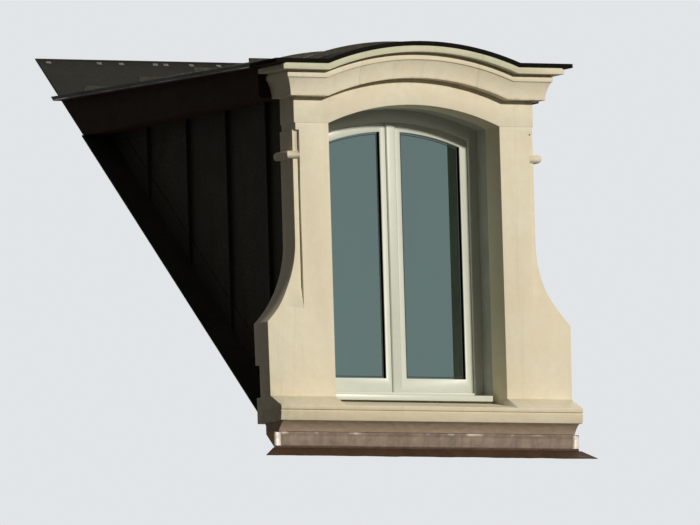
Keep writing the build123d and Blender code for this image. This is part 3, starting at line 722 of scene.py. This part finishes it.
def rib_tree():
    """Upright seams on a cheek, each as long as the triangle is high at its place."""
    tree = Tree("cheek_seams", {
        "Template": "Object", "Count": "Int", "First": "Float", "Pitch": "Float", "Face": "Float",
        "Side": "Float", "Top": "Float", "Slope": "Float", "Foot Lift": "Float", "Finish": "Material",
    })
    line = tree.add("GeometryNodeMeshLine", {
        "Count": tree["Count"],
        "Start Location": tree.vector(X=tree["Face"], Y=tree["First"]),
        "Offset": tree.vector(Y=tree["Pitch"]),
    }, mode="OFFSET").outputs["Mesh"]
    position = tree.add("GeometryNodeInputPosition").outputs[0]
    depth = tree.add("ShaderNodeSeparateXYZ", {0: position}).outputs["Y"]
    foot = tree.math("ADD", tree.math("MULTIPLY", depth, tree["Slope"]), tree["Foot Lift"])
    lifted = tree.add("GeometryNodeSetPosition", {"Geometry": line, "Offset": tree.vector(Z=foot)})
    size = tree.vector(X=tree["Side"], Y=1.0, Z=tree.math("SUBTRACT", tree["Top"], foot))
    return tree.finish(tree.copies(lifted.outputs["Geometry"], "Scale", size))


def fold_tree():
    """A section carried along a path, for folded seams and drip beads."""
    tree = Tree("folded_run", {"Section": "Object", "Finish": "Material"})
    path = tree.add("GeometryNodeMeshToCurve", {"Mesh": tree["Geometry"]})
    ring = tree.add("GeometryNodeMeshToCurve", {"Mesh": tree.shape_of("Section")})
    run = tree.add("GeometryNodeCurveToMesh", {
        "Curve": path.outputs["Curve"], "Profile Curve": ring.outputs["Curve"], "Fill Caps": True,
    })
    return tree.finish(run.outputs["Mesh"])


COPIES = copies_tree()
RIBS = rib_tree()
FOLD = fold_tree()


def ring_object(name, section):
    """A closed outline that a tree carries along a path, deleted afterwards."""
    count = len(section)
    edges = [(k, (k + 1) % count) for k in range(count)]
    return placed(name, plain_mesh(name, [(a, b, 0.0) for a, b in section], edges))


def add_grown(name, tree, values, places, angle, material, slot):
    """Adds a piece that a tree makes at places or along the line through them."""
    edges = [(k, k + 1) for k in range(len(places) - 1)]
    maker = placed(name + "_maker", plain_mesh(name + "_base", places, edges))
    growth = maker.modifiers.new("growth", "NODES")
    growth.node_group = tree
    values = {**values, "Finish": material}
    for socket in tree.interface.items_tree:
        if socket.in_out == "INPUT" and socket.name in values:
            growth[socket.identifier] = values[socket.name]
    made = evaluated(maker)
    outward(made)
    add_piece(name, made, angle, material, slot)


# Stone front
STONE_EASE = 0.0035
MOULDING_EASE = 0.0018
BED_STEP = 0.012
BED_WAVE = 0.0020
BED_HOLLOW = 0.003
BED_ROWS = 7


def stone_front():
    """Stones with worn arrises, in the places of their nodes."""
    eased("worn_", ("sill_stone", "lintel", "left_jamb", "right_jamb"), STONE_EASE, STONE, "stone")
    eased("worn_", ("left_cornice", "centre_cornice", "right_cornice"), MOULDING_EASE, STONE, "stone")


def mortar_bed():
    """Splayed bed course under the sill, rough and a little uneven along its face."""
    lowest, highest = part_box("sill_bed")
    foot_y = min(p.co.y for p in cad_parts["sill_bed"].data.vertices if p.co.z < lowest.z + 1e-4)
    foot = Vector((0, foot_y, lowest.z))
    rise = Vector((0, lowest.y, highest.z)) - foot
    inward = Vector((0, rise.z, -rise.y)).normalized()
    columns = round((highest.x - lowest.x) / BED_STEP)
    points = []
    for i in range(columns + 1):
        x = lowest.x + (highest.x - lowest.x) * i / columns
        for k in range(BED_ROWS + 1):
            t = k / BED_ROWS
            rough = rumple((x * 31, t * 2.4, 2.0), (x * 90, t * 6.6, 7.0), 0.5)
            sunk = BED_HOLLOW * sin(pi * t) + BED_WAVE * (1.0 + rough) * min(1.0, 4 * t, 4 * (1 - t))
            points.append(Vector((x, 0, 0)) + foot + rise * t + inward * sunk)
        points += [Vector((x, highest.y, highest.z)), Vector((x, highest.y, lowest.z))]
    bed = points, skinned(columns + 1, BED_ROWS + 3)
    add_shape("rough_sill_bed", [bed], 40, MORTAR, "mortar", "sill_bed")


# Window
JOINERY_EASE = 0.0022
HEAD_STEPS = 28
BEAD_WIDTH = 0.012
BEAD_PROUD = 0.012
GASKET_WIDTH = 0.004
GASKET_PROUD = 0.002
BEAD_SECTION = (
    (0, 0), (-BEAD_WIDTH, 0), (-BEAD_WIDTH, BEAD_PROUD * 0.35),
    (-BEAD_WIDTH * 0.45, BEAD_PROUD), (0, BEAD_PROUD),
)
GASKET_SECTION = ((0, 0), (-GASKET_WIDTH, 0), (-GASKET_WIDTH, GASKET_PROUD), (0, GASKET_PROUD))
OUTWARDS = Vector((0, -1, 0))


def pane_path(y, inset=0.0):
    """Outline of the right-hand pane at a depth, drawn in by an inset, anticlockwise from the foot."""
    x_in, x_out, z_foot = PANE_IN + inset, PANE_OUT - inset, PANE_FOOT + inset
    path = [Vector((x_in, y, z_foot)), Vector((x_out, y, z_foot))]
    for k in range(HEAD_STEPS + 1):
        x = x_out + (x_in - x_out) * k / HEAD_STEPS
        path.append(Vector((x, y, arc_z(PANE_R - inset, x))))
    return path


def joinery():
    """Fixed frame, leaves, cover strip and weathered bar with eased edges."""
    nodes = ("window_frame", "left_sash", "right_sash", "astragal", "window_bar")
    eased("eased_", nodes, JOINERY_EASE, PAINT, "window_paint")


def glazing_trim():
    """Beads and gaskets round each pane, outside and on the room side."""
    beads = [
        mitred_run(pane_path(PANE_FRONT), BEAD_SECTION, OUTWARDS),
        mitred_run(pane_path(PANE_BACK)[::-1], BEAD_SECTION, -OUTWARDS),
    ]
    seal = mitred_run(pane_path(PANE_FRONT, BEAD_WIDTH), GASKET_SECTION, OUTWARDS)
    for side, sign in SIDES:
        side_beads = [sided(part, sign) for part in beads]
        add_shape(side + "_glazing_beads", side_beads, 30, PAINT, "window_paint")
        add_shape(side + "_glazing_gasket", [sided(seal, sign)], None, GASKET, "window_paint")


# Lead apron
APRON_STEP = 0.008
APRON_SHEET = 0.003
APRON_END_OUT = 0.008
APRON_ROWS = 11
APRON_THICK = 0.004
APRON_PROUD = 0.0015
APRON_BELLY = 0.0028
APRON_LIP = 0.0035
LIP_ROWS = 2
FLANGE_ROWS = 7
FLANGE_LIFT = 0.0045
FLANGE_DENT = 0.0030
FLANGE_WANDER = 0.035
FOLD_WIDTH = 0.036
FOLD_PROUD = 0.0085
FOLD_SWELL = 0.14
FOLD_ROWS = 14
FOLD_STEPS = 8
FOLD_BACK = 0.001
FOLD_FOOT = 0.009
FOLD_HEAD = 0.004


def dent(x, s, seed):
    """Mallet marks at a place on the sheet."""
    return rumple((x * 9, s * 9, seed), (x * 27, s * 24, seed + 5), 0.6)


def rolled_fold(x_low, x_high, back_y, z_foot, z_top):
    """Upright fold of lead at an end of the apron, rounded in front."""
    points = []
    for k in range(FOLD_ROWS + 1):
        z = z_foot + (z_top - z_foot) * k / FOLD_ROWS
        swell = 1.0 + FOLD_SWELL * noise.noise(Vector((x_low * 5, z * 42, 9.0)))
        for s in range(FOLD_STEPS + 1):
            turn = pi * s / FOLD_STEPS
            x = (x_low + x_high) / 2 - (x_high - x_low) / 2 * cos(turn) * min(swell, 1.0)
            points.append((x, back_y - FOLD_PROUD * sin(turn) * swell, z))
    return points, skinned(FOLD_ROWS + 1, FOLD_STEPS + 1)


def apron_sheet():
    """Lead dressed down the curb and out over the slope, dented by the mallet, with folded ends."""
    lowest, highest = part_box("lead_apron")
    half_up = high("sill_stone").x + APRON_END_OUT
    half_down = highest.x - APRON_PROUD
    front = highest.y - APRON_THICK
    foot_z = slope_z(front) + APRON_RISE
    columns = round(2 * half_up / APRON_STEP)
    points = []
    for i in range(columns + 1):
        x = half_up * (2 * i / columns - 1)
        for k in range(APRON_ROWS):
            t = k / (APRON_ROWS - 1)
            z = highest.z + (foot_z - highest.z) * t
            push = APRON_BELLY * sin(pi * t) * (0.6 + 0.7 * dent(x, z, 3.0))
            lip = APRON_LIP if k < LIP_ROWS else 0.0
            points.append((x, front - APRON_PROUD - max(push, 0.0) - lip, z))
        for k in range(1, FLANGE_ROWS + 1):
            t = k / FLANGE_ROWS
            flare = x * (1 + (half_down / half_up - 1) * t)
            lift = FLANGE_LIFT + FLANGE_DENT * (0.5 + 0.5 * dent(flare, t * 0.07, 11.0)) * t
            wander = 1.0 - FLANGE_WANDER * (0.5 + 0.5 * noise.noise(Vector((x * 7, 4.0, 1.0)))) * t
            y = front + (lowest.y - front) * t * wander
            points.append((flare, y, slope_z(y) + APRON_RISE + lift))
    width = APRON_ROWS + FLANGE_ROWS
    faces = []
    for row in range(0, columns * width, width):
        step = row + width
        faces += [[row + k, row + k + 1, step + k + 1, step + k] for k in range(width - 1)]
    mesh = plain_mesh("apron_blank", points, (), faces)
    outward(mesh)
    if mesh.polygons[0].normal.y > 0:
        mesh.flip_normals()
    blank = placed("apron_blank", mesh)
    sheet = blank.modifiers.new("sheet", "SOLIDIFY")
    sheet.thickness = APRON_SHEET
    sheet.offset = -1.0
    add_piece("dressed_apron", evaluated(blank), 45, LEAD, "lead", "lead_apron")
    folds = []
    for x_low, x_high in ((-half_up, FOLD_WIDTH - half_up), (half_up - FOLD_WIDTH, half_up)):
        z_foot, z_top = foot_z + FOLD_FOOT, highest.z - FOLD_HEAD
        folds.append(rolled_fold(x_low, x_high, front - FOLD_BACK, z_foot, z_top))
    add_shape("apron_end_folds", folds, 50, LEAD_FOLD, "lead")


# Metal roof and cheeks
SHEET_EASE = 0.0012
ROUND_STEPS = 10
BEAD_RADIUS = 0.0045
BEAD_OUT = 0.0005
BEAD_STOP = 0.16
CLEAT_WIDTH = 0.026
CLEAT_LENGTH = 0.018
CLEAT_THICK = 0.0016
CLEAT_NAIL = 0.005
CLEAT_DOWN = 0.034
CLEAT_PLAY = (0.0, 0.0, 0.22)
CLEAT_SHIFT = (0.004, 0.0, 0.0)
CLEAT_PLACES = (-0.713, -0.435, -0.304, -0.116, -0.058, 0.089, 0.243, 0.371, 0.562, 0.701)
WELT_RADIUS = 0.0035
WELT_IN = 0.0045
WELT_STOP = 0.012
REAR_WELT_FOOT = 0.030
REAR_WELT_HEAD = 0.008
SIDE_SHEET = 0.005
LOCK_TOP = 0.200
LOCK_STEPS = 44
LOCK_IN = 0.002
LOCK_SECTION = (
    (0.0015, 0.0085), (0.0015, 0.0002), (0.0004, -0.0012),
    (-0.0118, -0.0012), (-0.0130, 0.0002), (-0.0130, 0.0085),
)
SEAM_STEP = 0.603
SEAM_COUNT = 4
RIB_FIRST = 0.19
RIB_PITCH = 0.43
RIB_OUT = 0.024
RIB_FOLD = 0.009
RIB_SHEET = 0.0028
RIB_COUNT = 4
RIB_FOOT = 0.012
RIB_HEAD = 0.001


def metalwork():
    """Folded cap and standing seams with eased edges."""
    eased("folded_", ("cornice_cap",), SHEET_EASE, CAP_ZINC, "zinc")
    eased("folded_", ("standing_seams",), SHEET_EASE, SEAM_ZINC, "zinc")


def eave_beads():
    """Rolled edge at the foot of the zinc along both eaves, climbing with the roof."""
    lowest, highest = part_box("roof_sheets")
    y_back = highest.y - BEAD_STOP
    z_front = lowest.z + BEAD_RADIUS
    z_back = z_front + (y_back - lowest.y) * ROOF_RISE
    outline = ring_object("bead_outline", round_section(BEAD_RADIUS, ROUND_STEPS))
    for side, sign in SIDES:
        x = sign * (highest.x - BEAD_RADIUS + BEAD_OUT)
        path = [(x, lowest.y, z_front), (x, y_back, z_back)]
        add_grown(side + "_eave_bead", FOLD, {"Section": outline}, path, 50, ZINC_EDGE, "zinc")
    delete(outline)


def flashing_cleats():
    """Small cleats under the upper edge of the rear flashing, nailed at uneven distances."""
    highest = high("rear_flashing")
    half, deep = CLEAT_WIDTH / 2, CLEAT_LENGTH / 2
    nail = ((CLEAT_NAIL, CLEAT_THICK), (CLEAT_NAIL, CLEAT_THICK * 1.4), (CLEAT_NAIL * 0.6, CLEAT_THICK * 1.9))
    parts = [box_part(-half, half, -deep, deep, 0.0, CLEAT_THICK), turned(nail, ROUND_STEPS)]
    template = template_object("cleat_template", parts)
    y = highest.y - CLEAT_DOWN * cos(PITCH)
    z = slope_z(y) + (highest.z - slope_z(highest.y))
    values = {
        "Template": template, "Turn": (PITCH, 0.0, 0.0), "Play": CLEAT_PLAY, "Shift": CLEAT_SHIFT, "Seed": 4,
    }
    places = [(x, y, z) for x in CLEAT_PLACES]
    add_grown("flashing_cleats", COPIES, values, places, None, CLEAT_ZINC, "zinc")
    delete(template)


def flashing_welts():
    """Rolled edges that stiffen the rear flashing's free sides and the outer sides of the side flashings."""
    outline = ring_object("welt_outline", round_section(WELT_RADIUS, ROUND_STEPS))
    lowest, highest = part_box("rear_flashing")
    x = highest.x - WELT_IN
    y_low, y_high = lowest.y + REAR_WELT_FOOT, highest.y - REAR_WELT_HEAD
    corners = [(-x, y_low), (-x, y_high), (x, y_high), (x, y_low)]
    runs = [("rear_flashing_welt", corners, highest.z - slope_z(highest.y), FLASHING_ZINC)]
    for side, sign in SIDES:
        lowest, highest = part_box(side + "_side_flashing")
        edge = sign * (max(abs(lowest.x), abs(highest.x)) - WELT_IN)
        ends = [(edge, lowest.y + WELT_STOP), (edge, highest.y - WELT_STOP)]
        runs.append((side + "_flashing_welt", ends, SIDE_SHEET / cos(PITCH), CHEEK_ZINC))
    for name, corners, lift, finish in runs:
        path = [(x, y, slope_z(y) + lift) for x, y in corners]
        add_grown(name, FOLD, {"Section": outline}, path, 50, finish, "zinc")
    delete(outline)


def seam_locks():
    """Folded locks along the tops of the standing seams, over the flats and the arch."""
    section = ring_object("lock_section", LOCK_SECTION)
    half = high("standing_seams").x - LOCK_IN
    radius = LINTEL_R + LOCK_TOP
    flat = SHOULDER_Z + LOCK_TOP
    bend = sqrt(radius ** 2 - (flat - ARCH_Z) ** 2)
    for i in range(SEAM_COUNT):
        y = low("standing_seams").y + i * SEAM_STEP
        lift = i * SEAM_STEP * ROOF_RISE
        line = [(-half, y, flat + lift)]
        for k in range(LOCK_STEPS + 1):
            x = -bend + 2 * bend * k / LOCK_STEPS
            line.append((x, y, arc_z(radius, x) + lift))
        line.append((half, y, flat + lift))
        add_grown("seam_lock_" + str(i + 1), FOLD, {"Section": section}, line, 40, SEAM_ZINC, "zinc")
    delete(section)


def cheek_seams():
    """Upright standing seams on both cheeks, from the flashing up to the soffit."""
    neck = RIB_OUT - RIB_FOLD
    fold = [
        (0, -RIB_SHEET), (neck, -RIB_SHEET), (neck, -RIB_FOLD),
        (RIB_OUT, -RIB_FOLD), (RIB_OUT, RIB_SHEET), (0, RIB_SHEET),
    ]
    template = template_object("seam_template", [upright_prism(fold, 0.0, 1.0)])
    for side, sign in SIDES:
        values = {
            "Template": template, "Count": RIB_COUNT, "First": STONE_BACK + RIB_FIRST, "Pitch": RIB_PITCH,
            "Face": sign * CHEEK_X, "Side": sign, "Top": SOFFIT_Z - RIB_HEAD, "Slope": SLOPE,
            "Foot Lift": RIB_FOOT,
        }
        add_grown(side + "_cheek_seams", RIBS, values, [], None, CHEEK_ZINC, "zinc")
    delete(template)


# Nodes that keep their own shape, with the grain along each timber's length
KEPT_SHAPES = (
    (REVEAL, "reveal_lining"),
    (ZINC, "roof_sheets"),
    (FLASHING_ZINC, "rear_flashing"),
    (CHEEK_ZINC, "left_side_flashing right_side_flashing left_cheek_cladding right_cheek_cladding"),
    (WOOD_X, "front_curb roof_joists rear_trimmer head_beam sill_trimmer"),
    (WOOD_SLOPE, "left_cheek_curb right_cheek_curb"),
    (WOOD_Z, "left_post right_post left_cheek_wall right_cheek_wall"),
    (EAVE_Y, "left_fascia right_fascia left_soffit right_soffit roof_deck"),
    (LINING, "left_cheek_lining right_cheek_lining ceiling_lining"),
    (GLASS, "left_glass right_glass"),
)


def kept_shapes():
    """Gives the sheets, timbers, linings and panes their finishes."""
    for material, nodes in KEPT_SHAPES:
        for node in nodes.split():
            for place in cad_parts[node].material_slots:
                place.material = material


# Eaves
END_BOARD = 0.010
END_BOARD_BACK = 0.002
END_BOARD_TOP = 0.148
NAIL_RADIUS = 0.0045
NAIL_PROFILE = ((NAIL_RADIUS, -0.001), (NAIL_RADIUS, 0.0008), (NAIL_RADIUS * 0.6, 0.0018))
NAIL_FIRST = 0.05
NAIL_PITCH = 0.49
NAIL_COUNT = 4
NAIL_SPREAD = 0.040
NAIL_SHIFT = (0.0, 0.006, 0.005)
DECK_UNDER = 0.152


def eave_end_boards():
    """Small boards that close the front ends of the eaves behind the cornice's returns."""
    front = STONE_BACK + END_BOARD_BACK
    boards = []
    for side, _ in SIDES:
        lowest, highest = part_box(side + "_soffit")
        top = SHOULDER_Z + END_BOARD_TOP
        boards.append(box_part(lowest.x, highest.x, front, front + END_BOARD, highest.z, top))
    add_shape("eave_end_boards", boards, None, EAVE_X, "eave_paint")


def fascia_nails():
    """Pairs of nail heads where the fascias are fixed to the joists."""
    template = template_object("nail_template", [turned(NAIL_PROFILE, ROUND_STEPS)])
    for side, sign in SIDES:
        lowest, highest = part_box(side + "_fascia")
        x = sign * max(abs(lowest.x), abs(highest.x))
        places = []
        for i in range(NAIL_COUNT):
            y = STONE_BACK + NAIL_FIRST + NAIL_PITCH * i
            middle = (lowest.z + SHOULDER_Z + DECK_UNDER + NAIL_PITCH * i * ROOF_RISE) / 2
            places += [(x, y, middle + NAIL_SPREAD), (x, y, middle - NAIL_SPREAD)]
        values = {"Template": template, "Turn": (0.0, sign * pi / 2, 0.0), "Shift": NAIL_SHIFT, "Seed": 12}
        add_grown(side + "_fascia_nails", COPIES, values, places, None, FLASHING_ZINC, "eave_paint")
    delete(template)


# Fittings on the room side
HINGE_HEIGHTS = (0.42, 0.92, 1.36)
HINGE_HALF = 0.045
HINGE_RADIUS = 0.0075
HINGE_GROOVE = 0.0012
HINGE_OUT = 0.002
HINGE_BACK = 0.0052
BOLT_X = 0.030
BOLT_RADIUS = 0.007
BOLT_FOOT = 0.274
BOLT_HEAD = 1.598
BOLT_LAP = 0.004
GUIDE_HEIGHTS = (0.34, 0.60, 1.16, 1.42, 1.56)
GUIDE_HALF = 0.007
GUIDE_OUTLINE = (
    (-0.016, 0), (0.016, 0), (0.016, 0.003), (0.0115, 0.0045),
    (0.0085, 0.0095), (-0.0085, 0.0095), (-0.0115, 0.0045), (-0.016, 0.003),
)
GEAR_FOOT = 0.83
GEAR_HEAD = 0.95
GEAR_OUTLINE = ((-0.018, 0), (0.018, 0), (0.018, 0.011), (0.012, 0.018), (-0.012, 0.018), (-0.018, 0.011))
KNOB_PROFILE = (
    (0.007, 0.017), (0.0065, 0.030), (0.009, 0.034), (0.016, 0.039),
    (0.0185, 0.046), (0.015, 0.053), (0.006, 0.0565),
)
KNOB_OVAL = 1.5


def hinge_part():
    """One butt hinge of the right-hand leaf: a knuckled barrel and two plates, about its own pin."""
    r, half = HINGE_RADIUS, HINGE_HALF
    profile = [(r * 0.4, -half - 0.006), (r * 0.8, -half - 0.003), (r, -half)]
    for cut in (-half / 3, half / 3):
        profile += [(r, cut - HINGE_GROOVE), (r * 0.86, cut), (r, cut + HINGE_GROOVE)]
    profile += [(r, half), (r * 0.8, half + 0.003), (r * 0.4, half + 0.006)]
    leaf_plate = box_part(-0.030, -r * 0.6, -0.0055, -0.0030, -half, half)
    frame_plate = box_part(r * 0.6, 0.028, -0.0115, -0.0090, -half, half)
    return joined([turned(profile, 16), leaf_plate, frame_plate])


def casement_hinges():
    """Three hinges on each leaf, on the room side."""
    pin_x = high("right_sash").x + HINGE_OUT
    for side, sign in SIDES:
        template = template_object("hinge_template", [sided(hinge_part(), sign)])
        values = {"Template": template, "Seed": 1}
        places = [(sign * pin_x, LEAF_BACK + HINGE_BACK, z) for z in HINGE_HEIGHTS]
        add_grown(side + "_casement_hinges", COPIES, values, places, 30, FITTING, "window_paint")
        delete(template)


def casement_bolt():
    """Long bolt on the right leaf's meeting stile, with its guides, gear case and oval knob."""
    half_round = round_section(BOLT_RADIUS, 16)[:9]
    parts = [
        upright_prism(half_round, BOLT_FOOT, GEAR_FOOT + BOLT_LAP),
        upright_prism(half_round, GEAR_HEAD - BOLT_LAP, BOLT_HEAD),
    ]
    parts += [upright_prism(GUIDE_OUTLINE, z - GUIDE_HALF, z + GUIDE_HALF) for z in GUIDE_HEIGHTS]
    parts.append(upright_prism(GEAR_OUTLINE, GEAR_FOOT, GEAR_HEAD))
    knob, knob_faces = turned(KNOB_PROFILE, 20)
    middle = (GEAR_FOOT + GEAR_HEAD) / 2
    parts.append(([Vector((p.x, p.z, middle + p.y * KNOB_OVAL)) for p in knob], knob_faces))
    points, faces = joined(parts)
    place = Vector((BOLT_X, LEAF_BACK, 0.0))
    add_shape("casement_bolt", [([p + place for p in points], faces)], 35, FITTING, "window_paint")


# Studio
VIEW_AZIMUTH = radians(27.5)
VIEW_RISE = radians(5.0)
VIEW_ROLL = radians(-1.65)
VIEW_DISTANCE = 100.0
VIEW_AIM = Vector((-0.20, 0.30, 0.92))
VIEW_WIDTH = 3.45
SENSOR = 36.0
FLOOR_Z = -8.0
FLOOR_HALF = 90.0
FLOOR_GLOW = 0.42
PALE_SKY = tone(226, 229, 232)
FILL_TONE = tone(216, 211, 206)
FILL_STRENGTH = 0.10


def aimed(thing, travel, roll=0.0):
    """Turns a camera or a sun along a direction."""
    rolled = Matrix.Rotation(roll, 4, "Z").to_quaternion()
    thing.rotation_mode = "QUATERNION"
    thing.rotation_quaternion = travel.to_track_quat("-Z", "Y") @ rolled


def camera():
    """Camera at the photograph's angle, left of the front and looking up a little."""
    forward = Vector((sin(VIEW_AZIMUTH) * cos(VIEW_RISE), cos(VIEW_AZIMUTH) * cos(VIEW_RISE), sin(VIEW_RISE)))
    data = bpy.data.cameras.new("studio_camera")
    data.sensor_width = SENSOR
    data.lens = SENSOR * VIEW_DISTANCE / VIEW_WIDTH
    data.clip_end = VIEW_DISTANCE * 3
    eye = placed("studio_camera", data)
    eye.location = VIEW_AIM - forward * VIEW_DISTANCE
    aimed(eye, forward, VIEW_ROLL)
    bpy.context.scene.camera = eye


def studio_floor():
    """Wide pale floor, far below the raised part."""
    half = FLOOR_HALF
    corners = [(-half, -half, FLOOR_Z), (half, -half, FLOOR_Z), (half, half, FLOOR_Z), (-half, half, FLOOR_Z)]
    mesh = plain_mesh("studio_floor", corners, (), [[0, 1, 2, 3]])
    glow = {"Emission Color": PALE_SKY, "Emission Strength": FLOOR_GLOW}
    pale = Finish("studio_floor", 0.1, {"Roughness": 0.9, **glow})
    pale.base(pale.cloud(0.3, 4.0, 0.5), (214, 213, 209), (219, 218, 214))
    mesh.materials.append(pale.material)
    floor = placed("studio_floor", mesh)
    floor.visible_diffuse = False


def studio_sun(name, energy, degrees, colour, travel):
    """A sun of an apparent size that shines along a direction."""
    data = bpy.data.lights.new(name, "SUN")
    data.energy = energy
    data.angle = radians(degrees)
    data.color = colour
    aimed(placed(name, data), Vector(travel))


def studio_light():
    """A key from the front right, a weak soft light from behind and a pale surround."""
    studio_sun("studio_rear", 1.6, 25.0, (1.0, 1.0, 1.0), (-0.42, -0.9, -0.62))
    studio_sun("studio_key", 2.8, 3.0, (1.0, 0.957, 0.885), (-0.21, 1.0, -0.33))
    world = bpy.data.worlds.new("studio_surround")
    bpy.context.scene.world = world
    world.use_nodes = True
    world.node_tree.nodes.clear()
    surround = Nodes(world.node_tree)
    path = surround.add("ShaderNodeLightPath")
    bright = surround.add("ShaderNodeBackground", {"Color": PALE_SKY, "Strength": 1.0})
    fill = surround.add("ShaderNodeBackground", {"Color": FILL_TONE, "Strength": FILL_STRENGTH})
    mix = surround.add("ShaderNodeMixShader", {
        0: path.outputs["Is Diffuse Ray"], 1: bright.outputs[0], 2: fill.outputs[0],
    })
    surround.add("ShaderNodeOutputWorld", {"Surface": mix.outputs[0]})


stone_front()
mortar_bed()
joinery()
glazing_trim()
apron_sheet()
metalwork()
eave_beads()
flashing_cleats()
flashing_welts()
seam_locks()
cheek_seams()
kept_shapes()
eave_end_boards()
fascia_nails()
casement_hinges()
casement_bolt()
camera()
studio_floor()
studio_light()
bpy.context.scene.view_settings.view_transform = "Standard"
